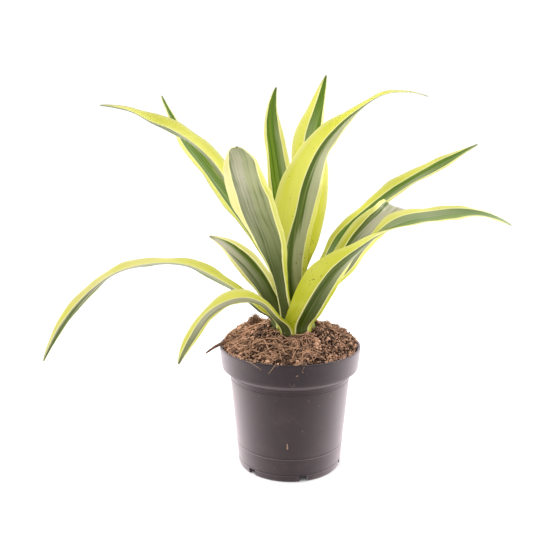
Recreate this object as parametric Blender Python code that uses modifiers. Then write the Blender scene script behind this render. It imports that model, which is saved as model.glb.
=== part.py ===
"""A striped dracaena in a nursery pot: pot, soil, short cane and one solid for each leaf.

X runs to the right, Y away from the viewer and Z up. The pot stands on its foot ring at Z = 0.
"""

import math

import bmesh
import bpy
import numpy as np
from mathutils import Vector

MM = 0.001

# Pot, millimetres.
POT_SEGMENTS = 48
POT_OUTER = [
    (59.4, 105.0), (60.0, 104.3), (58.3, 87.6), (57.7, 86.2), (51.8, 81.8), (51.1, 80.4),
    (45.9, 20.9), (46.0, 20.2), (45.6, 19.4), (44.3, 5.6), (44.0, 1.0), (43.4, 0.0),
]
POT_INNER = [
    (41.4, 0.0), (41.2, 5.0), (0.0, 5.0), (0.0, 6.6), (41.6, 6.6), (42.6, 7.6),
    (49.5, 81.0), (50.2, 82.8), (56.0, 87.2), (56.6, 88.6), (58.3, 104.4), (58.7, 105.0),
]
NOTCH_COUNT = 6
NOTCH_FIRST_DEG = -46.5
NOTCH_WIDTH = 6.7
NOTCH_HEIGHT = 4.6

# Soil, millimetres.
SOIL_SEGMENTS = 40
SOIL_GAP = 0.3
SOIL_BOTTOM = 7.9
SOIL_RINGS = [23.2, 28.0, 34.0, 40.0, 46.0, 51.5, 55.5]
HOLE_RADIUS = 22.0
HOLE_FLOOR = 99.7

# Cane, millimetres. The leaf bases sit on its cone, each one a step further in and up.
AXIS_X = 3.0
AXIS_Y = 0.0
CANE_SEGMENTS = 40
CANE_BOTTOM = 100.0
LEAF_BOTTOM = 114.0
NEST_INNER_RADIUS = 8.0
NEST_STEP = 1.1
NEST_RISE = 2.6
NEST_COUNT = 13

# Leaves, millimetres and degrees.
LEAF_THICKNESS = 0.7
LEAF_ROWS = 22
LEAF_COLUMNS = 6

# name: (nest place, base azimuth, reference azimuth, sheath height, edge wave, base half width,
#        [(x, y, z, half width clockwise, half width the other way, roll, cup), ...])
LEAVES = {
    "leaf_a": (4, 172, 178, 12, 0.9, 12, [
        (-16, -5, 172, 7, 8, 8, 80),
        (-42, -5, 223, 12, 13, 20, 50),
        (-67, 0, 262, 14, 14.5, 27, 40),
        (-98, 2, 286, 12.5, 11.5, 27, 40),
        (-112, 1, 291, 11, 9.5, 25, 40),
        (-132, 0, 300, 6.5, 5.5, 20, 30),
        (-153, -2, 303, 0.7, 0.7, 10, 10),
    ]),
    "leaf_b": (6, 140, 150, 12, 0.8, 12, [
        (-18, 13, 173, 12, 14, 0, 80),
        (-34, 22, 199, 13, 16, 0, 50),
        (-54, 30, 226, 15, 17, 0, 40),
        (-73, 38, 251, 14, 16, 0, 40),
        (-90, 44, 273, 11, 12, 0, 30),
        (-104, 50, 297, 4, 5, 0, 30),
        (-112, 54, 314, 0.7, 0.7, 0, 10),
    ]),
    "leaf_c": (11, 254, 250, 8, 1.0, 6.5, [
        (-7, -27, 152, 5.5, 5.5, 0, 50),
        (-12, -34, 178, 8.5, 8.5, 0, 50),
        (-18, -49, 200, 15.5, 13, 0, 40),
        (-28.5, -76, 230, 19.5, 15, 0, 30),
        (-34, -106, 254, 15, 13, 0, -10),
        (-36, -124, 265, 10, 9.5, 0, -40),
        (-37, -138, 270, 6, 6, 0, -50),
        (-37.5, -150, 271.5, 0.7, 0.7, 0, -20),
    ]),
    "leaf_d": (2, 100, 98, 14, 0.8, 12, [
        (-2, 22, 190, 11, 10, 0, 70),
        (-5, 33, 213, 12, 10, 0, 50),
        (-8, 43, 238, 12, 11, 0, 40),
        (-11, 53, 259, 11, 9, 0, 40),
        (-14, 65, 281, 9, 8.5, 0, 30),
        (-15, 79, 303, 5, 5, 0, 30),
        (-11, 93, 324, 0.7, 0.7, 0, 10),
    ]),
    "leaf_e": (5, 275, 345, 12, 1.2, 12, [
        (1, -20, 189, 16, 15, -60, 50),
        (4, -26, 219, 19, 19, -55, 40),
        (10, -30, 246, 18, 18, -50, 40),
        (20, -30, 268, 14, 15, -40, 40),
        (49, -26, 298, 6.5, 8, -20, 30),
        (73, -22, 311, 5, 4, 0, 30),
        (105, -18, 309, 0.7, 0.7, 0, 10),
    ]),
    "leaf_f": (1, 62, 82, 14, 1.0, 12, [
        (11, 13, 196, 15, 14, 0, 60),
        (16, 20, 225, 16, 16, 0, 45),
        (17, 27, 250, 16, 16, 0, 40),
        (18, 35, 276, 11, 15, 0, 40),
        (24, 43, 301, 6, 9, 0, 30),
        (32, 52, 331, 0.7, 0.7, 0, 10),
    ]),
    "leaf_g": (7, 20, 15, 12, 1.0, 12, [
        (27, 11, 163, 12, 11, 0, 80),
        (42, 18, 189, 13, 12, 12, 50),
        (73, 29, 222, 12, 8, 22, 40),
        (96, 34, 236, 9, 11, 24, 40),
        (139, 39, 259, 6.5, 7, 20, 30),
        (163, 40, 272, 0.7, 0.7, 15, 10),
    ]),
    "leaf_h": (8, 300, 285, 8, 1.0, 12, [
        (26, -13, 156, 13, 13, 19, 60),
        (44, -10, 177, 15, 16, 15, 45),
        (58, -6, 196, 15.5, 17, 19, 40),
        (71, -1, 208.5, 14.5, 17, 28, 35),
        (81, 4, 216.5, 12, 14, 21, 25),
        (88, 12, 220.5, 10, 12, 18, 15),
        (91, 21, 217.5, 9, 9, 17, 15),
        (91, 28, 208, 5.5, 5.5, 19, 15),
        (90, 32, 198, 0.7, 0.7, 20, 10),
    ]),
    "leaf_i": (12, 278, 340, 6, 1.0, 12, [
        (12, -29, 141, 14, 14.5, -60, 50),
        (31, -34, 172, 18, 14.5, -45, 45),
        (54, -35, 192, 15, 15, -10, 40),
        (78, -27, 208, 16, 15, 18, 40),
        (121, -6, 215, 14, 13, 20, 40),
        (164, 12, 214, 7, 6, 18, 30),
        (192, 26, 203, 0.7, 0.7, 10, 10),
    ]),
    "leaf_l": (10, 205, 191, 3, 1.0, 9, [
        (-25.5, -12, 136.5, 7.5, 7, 24, 50),
        (-43.5, -13, 153, 9, 9, 28, 45),
        (-58, -14, 162.5, 10.5, 11, 27, 40),
        (-85, -17, 176, 11.5, 11.5, 27, 40),
        (-113, -22, 178, 11.5, 11, 24, 40),
        (-141, -28, 171.5, 10.5, 9.5, 28, 40),
        (-166.5, -34, 151.5, 8, 7, 38, 40),
        (-183.5, -40, 129.5, 6, 5.5, 44, 30),
        (-196, -46, 104, 0.7, 0.7, 30, 10),
    ]),
    "leaf_m": (13, 254, 222, 4, 0.9, 6, [
        (-14, -31, 137, 5, 4.5, 14, 45),
        (-24, -39, 149.5, 6, 5, 30, 45),
        (-43, -49, 155.5, 9, 10, 48, 45),
        (-63, -58, 146.5, 10, 6.5, 75, 40),
        (-78, -63, 127, 6.5, 5.5, 90, 30),
        (-87, -65, 108, 0.7, 0.7, 90, 10),
    ]),
    "leaf_n": (9, 228, 238, 6, 0.8, 11, [
        (-17.5, -19, 151, 12, 8.5, 12, 60),
        (-27.5, -25.5, 169, 13, 10.5, 20, 45),
        (-40, -33, 185, 10, 9.5, 25, 40),
        (-53, -38, 197, 5.5, 5.5, 25, 30),
        (-64, -41, 203, 0.7, 0.7, 25, 10),
    ]),
    "leaf_back": (12, 95, 92, 8, 1.0, 12, [
        (3, 40, 168, 14, 14, 0, 50),
        (2, 62, 196, 15, 15, 0, 40),
        (0, 90, 216, 14, 14, 0, 40),
        (0, 122, 222, 10, 10, 0, 30),
        (2, 150, 213, 0.7, 0.7, 0, 10),
    ]),
    "leaf_spear": (0, 300, 300, 20, 0.0, 12, [
        (5, -3, 190, 8, 8, 0, 150),
        (8, 0, 222, 5, 5, 0, 120),
        (9, 1, 240, 0.7, 0.7, 0, 20),
    ]),
}


def clear_scene():
    for obj in list(bpy.data.objects):
        bpy.data.objects.remove(obj, do_unlink=True)


def new_collection(name):
    collection = bpy.data.collections.new(name)
    bpy.context.scene.collection.children.link(collection)
    return collection


def material(name, colour, roughness):
    made = bpy.data.materials.new(name)
    made.use_nodes = True
    shader = made.node_tree.nodes["Principled BSDF"]
    shader.inputs["Base Color"].default_value = (*colour, 1.0)
    shader.inputs["Roughness"].default_value = roughness
    shader.inputs["Metallic"].default_value = 0.0
    return made


def mesh_object(name, points, faces, collection, surface=None):
    mesh = bpy.data.meshes.new(name)
    mesh.from_pydata([Vector(p) * MM for p in points], [], faces)
    mesh.validate()
    obj = bpy.data.objects.new(name, mesh)
    collection.objects.link(obj)
    if surface is not None:
        mesh.materials.append(surface)
    return obj


def face_outward(obj):
    bm = bmesh.new()
    bm.from_mesh(obj.data)
    bmesh.ops.recalc_face_normals(bm, faces=bm.faces)
    bm.to_mesh(obj.data)
    bm.free()


def revolve(name, profile, segments, collection, surface):
    """Turn a closed profile, given at +X, once round Z."""
    count = len(profile)
    points = [(r, 0.0, z) for r, z in profile]
    mesh = bpy.data.meshes.new(name)
    edges = [(i, (i + 1) % count) for i in range(count)]
    mesh.from_pydata([Vector(p) * MM for p in points], edges, [])
    obj = bpy.data.objects.new(name, mesh)
    collection.objects.link(obj)
    mesh.materials.append(surface)
    screw = obj.modifiers.new("Turn", "SCREW")
    screw.axis = "Z"
    screw.angle = math.tau
    screw.steps = segments
    screw.render_steps = segments
    screw.use_merge_vertices = True
    screw.merge_threshold = 0.00001
    screw.use_normal_calculate = True
    return obj


def build_pot(collection, cutters, surface):
    pot = revolve("pot", POT_OUTER + POT_INNER, POT_SEGMENTS, collection, surface)
    for i in range(NOTCH_COUNT):
        angle = math.radians(NOTCH_FIRST_DEG - 90.0 + i * 360.0 / NOTCH_COUNT)
        bpy.ops.mesh.primitive_cube_add(size=1.0)
        cutter = bpy.context.active_object
        cutter.name = f"notch_cutter_{i}"
        cutter.scale = (12.0 * MM, NOTCH_WIDTH * MM, (NOTCH_HEIGHT + 2.0) * MM)
        bpy.ops.object.transform_apply(location=False, rotation=False, scale=True)
        reach = 42.5 * MM
        cutter.location = (
            reach * math.cos(angle),
            reach * math.sin(angle),
            (NOTCH_HEIGHT - 2.0) / 2.0 * MM,
        )
        cutter.rotation_euler = (0.0, 0.0, angle)
        for owner in list(cutter.users_collection):
            owner.objects.unlink(cutter)
        cutters.objects.link(cutter)
        cutter.hide_render = True
        cutter.display_type = "WIRE"
        cut = pot.modifiers.new(f"Notch {i}", "BOOLEAN")
        cut.operation = "DIFFERENCE"
        cut.solver = "EXACT"
        cut.object = cutter
    return pot


def pot_inner_radius(z):
    wall = [p for p in POT_INNER if p[1] > 7.0]
    return float(np.interp(z, [p[1] for p in wall], [p[0] for p in wall]))


def soil_height(x, y):
    """Top of the soil: level at the front, mounded toward the back, with low lumps."""
    back = 0.5 + 0.5 * math.tanh(y / 26.0)
    out = min(1.0, math.hypot(x, y) / 56.0)
    height = 104.0 + 8.0 * back
    height += (113.0 - height) * max(0.0, 1.0 - out) ** 0.8
    height += 0.7 * math.sin(x / 5.3 + 0.7) * math.cos(y / 6.1) * min(1.0, out * 1.2)
    height += 0.5 * math.sin(x / 3.1 - y / 4.3)
    clump = math.hypot((x + 31.0) / 9.0, (y - 30.0) / 9.0)
    return height + 5.0 * math.exp(-clump * clump)


def build_soil(collection, surface):
    points = []
    faces = []

    def ring(radius, level):
        first = len(points)
        for i in range(SOIL_SEGMENTS):
            a = math.tau * i / SOIL_SEGMENTS
            x = radius * math.cos(a)
            y = radius * math.sin(a)
            points.append((x, y, soil_height(x, y) if level is None else level))
        return first

    def ring_round_axis(radius, level):
        first = len(points)
        for i in range(SOIL_SEGMENTS):
            a = math.tau * i / SOIL_SEGMENTS
            points.append((AXIS_X + radius * math.cos(a), AXIS_Y + radius * math.sin(a), level))
        return first

    rings = [ring_round_axis(HOLE_RADIUS, HOLE_FLOOR), ring_round_axis(HOLE_RADIUS, 113.0)]
    for radius in SOIL_RINGS[1:]:
        rings.append(ring(radius, None))
    rim = len(points)
    for i in range(SOIL_SEGMENTS):
        a = math.tau * i / SOIL_SEGMENTS
        z = min(103.6, soil_height(55.5 * math.cos(a), 55.5 * math.sin(a)) - 0.6)
        r = pot_inner_radius(z) - SOIL_GAP
        points.append((r * math.cos(a), r * math.sin(a), z))
    rings.append(rim)
    for z in (88.9, 87.2, 82.8, 81.0):
        rings.append(ring(pot_inner_radius(z) - SOIL_GAP, z))
    rings.append(ring(pot_inner_radius(SOIL_BOTTOM + 1.0) - SOIL_GAP, SOIL_BOTTOM + 1.0))
    rings.append(ring(pot_inner_radius(SOIL_BOTTOM + 1.0) - SOIL_GAP - 1.5, SOIL_BOTTOM - 0.9))
    for lower, upper in zip(rings, rings[1:]):
        for i in range(SOIL_SEGMENTS):
            j = (i + 1) % SOIL_SEGMENTS
            faces.append((lower + i, lower + j, upper + j))
            faces.append((lower + i, upper + j, upper + i))
    faces.append(tuple(range(rings[0], rings[0] + SOIL_SEGMENTS)))
    faces.append(tuple(range(rings[-1], rings[-1] + SOIL_SEGMENTS)))
    soil = mesh_object("soil", points, faces, collection, surface)
    face_outward(soil)
    return soil


def nest_radius(place):
    return NEST_INNER_RADIUS + NEST_STEP * place


def nest_height(place):
    return LEAF_BOTTOM + NEST_RISE * (NEST_COUNT - place)


def build_cane(collection, surface):
    clearance = LEAF_THICKNESS / 2 + 0.3
    low = nest_radius(NEST_COUNT) - clearance
    high = nest_radius(0) - clearance
    profile = [
        (0.0, nest_height(0) + 4.5), (high * 0.55, nest_height(0) + 3.6),
        (high, nest_height(0) - 0.3), (low, LEAF_BOTTOM - 0.3), (low, CANE_BOTTOM),
        (0.0, CANE_BOTTOM),
    ]
    cane = revolve("stem", profile, CANE_SEGMENTS, collection, surface)
    cane.location = (AXIS_X * MM, AXIS_Y * MM, 0.0)
    return cane


def azimuth(degrees):
    a = math.radians(degrees)
    return np.array((math.cos(a), math.sin(a), 0.0))


def spline(rows):
    """Smooth curve through the rows by length; it starts straight up. Gives a function of 0..1."""
    values = np.array(rows, float)
    steps = np.linalg.norm(np.diff(values[:, :3], axis=0), axis=1)
    at = np.concatenate(([0.0], np.cumsum(steps)))
    slopes = np.zeros_like(values)
    for i in range(1, len(values) - 1):
        before = (values[i] - values[i - 1]) / (at[i] - at[i - 1])
        after = (values[i + 1] - values[i]) / (at[i + 1] - at[i])
        share = (at[i] - at[i - 1]) / (at[i + 1] - at[i - 1])
        slopes[i] = before * (1.0 - share) + after * share
    slopes[0, :3] = (0.0, 0.0, 1.0)
    slopes[1, :3] = (0.0, 0.0, 1.0)
    slopes[1, 3:] = 0.0
    slopes[-1] = 2.0 * (values[-1] - values[-2]) / (at[-1] - at[-2]) - slopes[-2]
    slopes[-1, 3:] = (values[-1, 3:] - values[-2, 3:]) / (at[-1] - at[-2]) * 1.3

    def evaluate(s):
        t = min(max(s, 0.0), 1.0) * at[-1]
        i = int(min(np.searchsorted(at, t, side="right") - 1, len(at) - 2))
        h = at[i + 1] - at[i]
        u = (t - at[i]) / h
        place = (2 * u**3 - 3 * u**2 + 1) * values[i] + (u**3 - 2 * u**2 + u) * h * slopes[i]
        place = place + (3 * u**2 - 2 * u**3) * values[i + 1] + (u**3 - u**2) * h * slopes[i + 1]
        turn = (6 * u**2 - 6 * u) / h * (values[i] - values[i + 1])
        turn = turn + (3 * u**2 - 4 * u + 1) * slopes[i] + (3 * u**2 - 2 * u) * slopes[i + 1]
        return place, turn[:3] / np.linalg.norm(turn[:3])

    return evaluate, at


def leaf_rows(name):
    """All rows of a leaf: two on the cane, where the base wraps round it, and the free ones."""
    place, base, reference, sheath, _, base_half, rows = LEAVES[name]
    r = nest_radius(place)
    x, y, _ = np.array((AXIS_X, AXIS_Y, 0.0)) + r * azimuth(base)
    half = min(base_half, r * math.radians(80))
    wrap = math.degrees(2.0 * half / r)
    turn = (base - reference + 180.0) % 360.0 - 180.0
    low = nest_height(place)
    start = [(x, y, low, half, half, turn, wrap), (x, y, low + sheath, half, half, turn, wrap)]
    return start + list(rows)


def leaf_grid(name, row_count, column_count):
    """Points across and along the middle of a leaf blade."""
    _, _, reference, _, wave, _, _ = LEAVES[name]
    evaluate, at = spline(leaf_rows(name))
    sheath_share = at[1] / at[-1]
    grid = []
    for i in range(row_count + 1):
        s = sheath_share * i / 2 if i < 2 else None
        if s is None:
            s = sheath_share + (1.0 - sheath_share) * (i - 2) / (row_count - 2)
        place, along = evaluate(s)
        left, right, roll, cup = place[3:]
        across = azimuth(reference + 90.0)
        across = across - along * across.dot(along)
        across = across / np.linalg.norm(across)
        upper = np.cross(along, across)
        a = math.radians(roll)
        side = across * math.cos(a) + upper * math.sin(a)
        upper = np.cross(along, side)
        bend = math.radians(cup if abs(cup) > 1.0 else 1.0) / (left + right)
        free = min(1.0, max(0.0, (s - sheath_share) * 4.0))
        row = []
        for j in range(column_count + 1):
            v = 2.0 * j / column_count - 1.0
            u = v * (left if v < 0 else right)
            ripple = math.sin(s * at[-1] / 9.0 + (1.9 if v > 0 else 0.0) + 0.6 * len(name))
            ripple = ripple * wave * free * v * v * min(1.0, (left + right) / 20.0)
            point = place[:3] + side * math.sin(bend * u) / bend
            point = point + upper * ((1.0 - math.cos(bend * u)) / bend + ripple)
            row.append(point)
        grid.append(row)
    return grid


def build_leaf(name, collection, surface):
    grid = leaf_grid(name, LEAF_ROWS, LEAF_COLUMNS)
    points = [p for row in grid for p in row]
    faces = []
    wide = LEAF_COLUMNS + 1
    for i in range(LEAF_ROWS):
        for j in range(LEAF_COLUMNS):
            a = i * wide + j
            if j < LEAF_COLUMNS // 2:
                faces.append((a, a + 1, a + wide))
                faces.append((a + 1, a + wide + 1, a + wide))
            else:
                faces.append((a, a + 1, a + wide + 1))
                faces.append((a, a + wide + 1, a + wide))
    leaf = mesh_object(name, points, faces, collection, surface)
    for polygon in leaf.data.polygons:
        polygon.use_smooth = True
    thick = leaf.modifiers.new("Thickness", "SOLIDIFY")
    thick.thickness = LEAF_THICKNESS * MM
    thick.offset = 0.0
    return leaf


def main():
    clear_scene()
    parts = new_collection("potted_dracaena")
    cutters = new_collection("cutters")
    build_pot(parts, cutters, material("pot_plastic", (0.085, 0.07, 0.072), 0.42))
    build_soil(parts, material("peat_soil", (0.07, 0.042, 0.024), 0.95))
    build_cane(parts, material("cane_bark", (0.2, 0.22, 0.09), 0.7))
    for name in LEAVES:
        build_leaf(name, parts, material(f"{name}_blade", (0.16, 0.34, 0.08), 0.45))


main()
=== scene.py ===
"""Finished look of a striped dracaena in a nursery pot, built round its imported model."""
import logging
import math
import random
from contextlib import contextmanager
from dataclasses import dataclass, field
from enum import Enum
from typing import Any, Callable, Iterator, Sequence

import bpy
import numpy as np
from mathutils import Matrix, Vector, noise


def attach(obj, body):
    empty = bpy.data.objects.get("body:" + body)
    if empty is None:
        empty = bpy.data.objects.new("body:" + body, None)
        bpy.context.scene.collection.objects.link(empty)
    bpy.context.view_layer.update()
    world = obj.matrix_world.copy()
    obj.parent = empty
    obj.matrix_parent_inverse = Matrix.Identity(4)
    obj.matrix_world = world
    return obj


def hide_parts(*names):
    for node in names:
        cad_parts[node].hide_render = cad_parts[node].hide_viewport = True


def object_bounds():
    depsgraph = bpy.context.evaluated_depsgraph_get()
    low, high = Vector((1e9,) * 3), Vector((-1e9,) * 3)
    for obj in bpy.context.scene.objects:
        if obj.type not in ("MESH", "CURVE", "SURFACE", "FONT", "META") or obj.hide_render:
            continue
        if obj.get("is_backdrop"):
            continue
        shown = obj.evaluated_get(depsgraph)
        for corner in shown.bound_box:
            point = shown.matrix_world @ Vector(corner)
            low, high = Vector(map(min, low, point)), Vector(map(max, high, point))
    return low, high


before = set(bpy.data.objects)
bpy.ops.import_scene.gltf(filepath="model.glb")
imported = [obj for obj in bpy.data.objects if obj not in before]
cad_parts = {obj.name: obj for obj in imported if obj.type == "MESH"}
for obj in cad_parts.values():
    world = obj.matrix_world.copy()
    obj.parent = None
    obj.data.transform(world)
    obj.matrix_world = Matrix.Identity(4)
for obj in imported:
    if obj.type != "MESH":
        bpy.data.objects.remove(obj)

CAD_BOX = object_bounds()
LOG = logging.getLogger("dracaena")
MM = 0.001
AXIS_X = 3.0  # where the cane stands across the pot, mm
# The UV maps of a blade, with the two values that each holds, and what each leaf keeps as attributes.
MAPS = {"blade": ("Across", "Along"), "bands": ("Left", "Right"), "where": ("Share", "Edge")}
TRAITS = ("Seed", "Tilt", "Crease", "Bleach", "Reach", "Shade", "Bone")
Colour = tuple[float, float, float, float]
Place = tuple[float, float, float]
Row = tuple[float, ...]
Form = tuple[np.ndarray, np.ndarray]  # points, and what belongs to them
Shapes = Iterator[tuple[np.ndarray, float]]  # points and a tone, copy by copy


def srgb(*values: int) -> Colour:
    """Turn a screen colour into a linear one.

    Args:
        values: Red, green and blue, 0 to 255.

    Returns:
        The linear colour with full alpha.
    """
    shares = [value / 255.0 for value in values]
    red, green, blue = (s / 12.92 if s <= 0.04045 else ((s + 0.055) / 1.055) ** 2.4 for s in shares)
    return (red, green, blue, 1.0)


class Face(Enum):
    """The two faces of a leaf blade."""

    UPPER = "upper"
    LOWER = "lower"


class Term:
    """One value or colour in a node tree. Reckoning with it adds Math nodes."""

    def __init__(self, bench: "Bench", socket: bpy.types.NodeSocket) -> None:
        """Keep the socket and the bench of its tree."""
        self.bench, self.socket = bench, socket

    def __add__(self, other: Any) -> "Term":
        """Add a value."""
        return self.bench.math("ADD", self, other)

    def __sub__(self, other: Any) -> "Term":
        """Take a value away."""
        return self.bench.math("SUBTRACT", self, other)

    def __rsub__(self, other: float) -> "Term":
        """Take this away from a number."""
        return self.bench.math("SUBTRACT", other, self)

    def __mul__(self, other: Any) -> "Term":
        """Multiply by a value."""
        return self.bench.math("MULTIPLY", self, other)

    def __truediv__(self, other: Any) -> "Term":
        """Divide by a value."""
        return self.bench.math("DIVIDE", self, other)

    def __abs__(self) -> "Term":
        """Give the value without its sign."""
        return self.bench.math("ABSOLUTE", self)

    def held(self) -> "Term":
        """Hold the result of the last Math node to 0..1."""
        self.socket.node.use_clamp = True
        return self

    def step(self, low: float, high: float, top: float = 1.0) -> "Term":
        """Rise smoothly from 0 to top as the value goes from low to high.

        Args:
            low: Where the result is 0. It may be above high, and the result then falls.
            high: Where the result is top.
            top: The largest result.

        Returns:
            The result.
        """
        start, end = (0.0, top) if low <= high else (top, 0.0)
        return self.bench.read("MapRange", "Result", interpolation_type="SMOOTHSTEP", inputs={
            "Value": self, "From Min": min(low, high), "From Max": max(low, high),
            "To Min": start, "To Max": end})


class Bench:
    """Adds nodes to one node tree and joins them."""

    def __init__(self, tree: bpy.types.NodeTree) -> None:
        """Keep the tree that the nodes go into."""
        self.tree = tree

    def feed(self, node: bpy.types.Node, inputs: dict[Any, Any]) -> None:
        """Join terms to a node's inputs, or set them to plain values.

        Args:
            node: The node.
            inputs: What each input gets, by its name or number.
        """
        for name, value in inputs.items():
            if isinstance(value, Term):
                self.tree.links.new(value.socket, node.inputs[name])
            else:
                node.inputs[name].default_value = value

    def put(self, kind: str, inputs: dict[Any, Any] | None = None, **settings: Any) -> bpy.types.Node:
        """Add one node.

        Args:
            kind: The node's type name without its first part.
            inputs: What its inputs get.
            settings: Properties of the node to set.

        Returns:
            The new node.
        """
        made = self.tree.nodes.new("ShaderNode" + kind)
        for name, value in settings.items():
            setattr(made, name, value)
        self.feed(made, inputs or {})
        return made

    def read(self, kind: str, output: Any, **settings: Any) -> Term:
        """Add one node as put does, and give one of its outputs, by name or number."""
        return Term(self, self.put(kind, **settings).outputs[output])

    def math(self, operation: str, *values: Any) -> Term:
        """Add a Math node on terms or numbers."""
        return self.read("Math", 0, operation=operation, inputs=dict(enumerate(values)))

    def mix(self, share: Any, first: Any, second: Any, blend: str = "MIX") -> Term:
        """Mix two colours.

        Args:
            share: How much of the second shows.
            first: The first colour.
            second: The second colour.
            blend: The way they mix.

        Returns:
            The mixed colour.
        """
        return self.read("Mix", 2, data_type="RGBA", blend_type=blend,
                         inputs={"Factor": share, 6: first, 7: second})

    def vector(self, *values: Any) -> Term:
        """Put up to three values into one vector."""
        return self.read("CombineXYZ", 0, inputs=dict(enumerate(values)))

    def split(self, vector: Term) -> list[Term]:
        """Give the three parts of a vector."""
        return [Term(self, part) for part in self.put("SeparateXYZ", {0: vector}).outputs]

    def noise(self, vector: Term, scale: float = 1.0, detail: float = 2.0) -> Term:
        """Add a Noise texture."""
        return self.read("TexNoise", "Fac", inputs={"Vector": vector, "Scale": scale, "Detail": detail})

    def place(self) -> Term:
        """Give the Object coordinates."""
        return self.read("TexCoord", "Object")

    def bump(self, height: Term, strength: float, distance: float) -> Term:
        """Turn a height into a normal."""
        return self.read("Bump", "Normal",
                         inputs={"Strength": strength, "Distance": distance, "Height": height})

    def group(self, tree: bpy.types.NodeTree, **values: Any) -> dict[str, Term]:
        """Place a node group.

        Args:
            tree: The group.
            values: What its inputs get, with _ for a space.

        Returns:
            Its outputs by name.
        """
        node = self.put("Group", node_tree=tree)
        self.feed(node, {name.replace("_", " "): value for name, value in values.items()})
        return {out.name: Term(self, out) for out in node.outputs}


Fill = Callable[[Bench, dict[str, Term]], dict[str, Term]]


def make_group(name: str, fill: Fill, floats: Sequence[str], colours: Sequence[str] = (),
               gives: Sequence[tuple[str, str]] = ()) -> bpy.types.NodeTree:
    """Build a shader node group, once.

    Args:
        name: The group's name.
        fill: Adds the nodes and gives the outputs by name.
        floats: The names of the inputs that are numbers.
        colours: The names of the inputs that are colours.
        gives: Pairs of an output's name and kind, Float or Color.

    Returns:
        The group.
    """
    tree = bpy.data.node_groups.get(name)
    if tree:
        return tree
    tree = bpy.data.node_groups.new(name, "ShaderNodeTree")
    takes = [(title, "Float") for title in floats] + [(title, "Color") for title in colours]
    for way, pairs in (("INPUT", takes), ("OUTPUT", gives)):
        for title, kind in pairs:
            tree.interface.new_socket(title, in_out=way, socket_type="NodeSocket" + kind)
    bench = Bench(tree)
    start, end = tree.nodes.new("NodeGroupInput"), tree.nodes.new("NodeGroupOutput")
    bench.feed(end, fill(bench, {title: Term(bench, start.outputs[title]) for title, _ in takes}))
    return tree


def grain_group() -> bpy.types.NodeTree:
    """Fine uneven grain on Object coordinates, for plastic, bark and soil.

    Returns:
        The group.
    """
    def fill(bench: Bench, given: dict[str, Term]) -> dict[str, Term]:
        """Add the nodes and give the outputs by name."""
        scaled = bench.read("VectorMath", 0, operation="SCALE",
                            inputs={0: bench.place(), "Scale": given["Size"]})
        return {"Fine": bench.noise(scaled, 1.0, 4.0), "Wide": bench.noise(scaled, 0.13, 3.0)}

    return make_group("Uneven grain", fill, ["Size"], gives=[("Fine", "Float"), ("Wide", "Float")])


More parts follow.
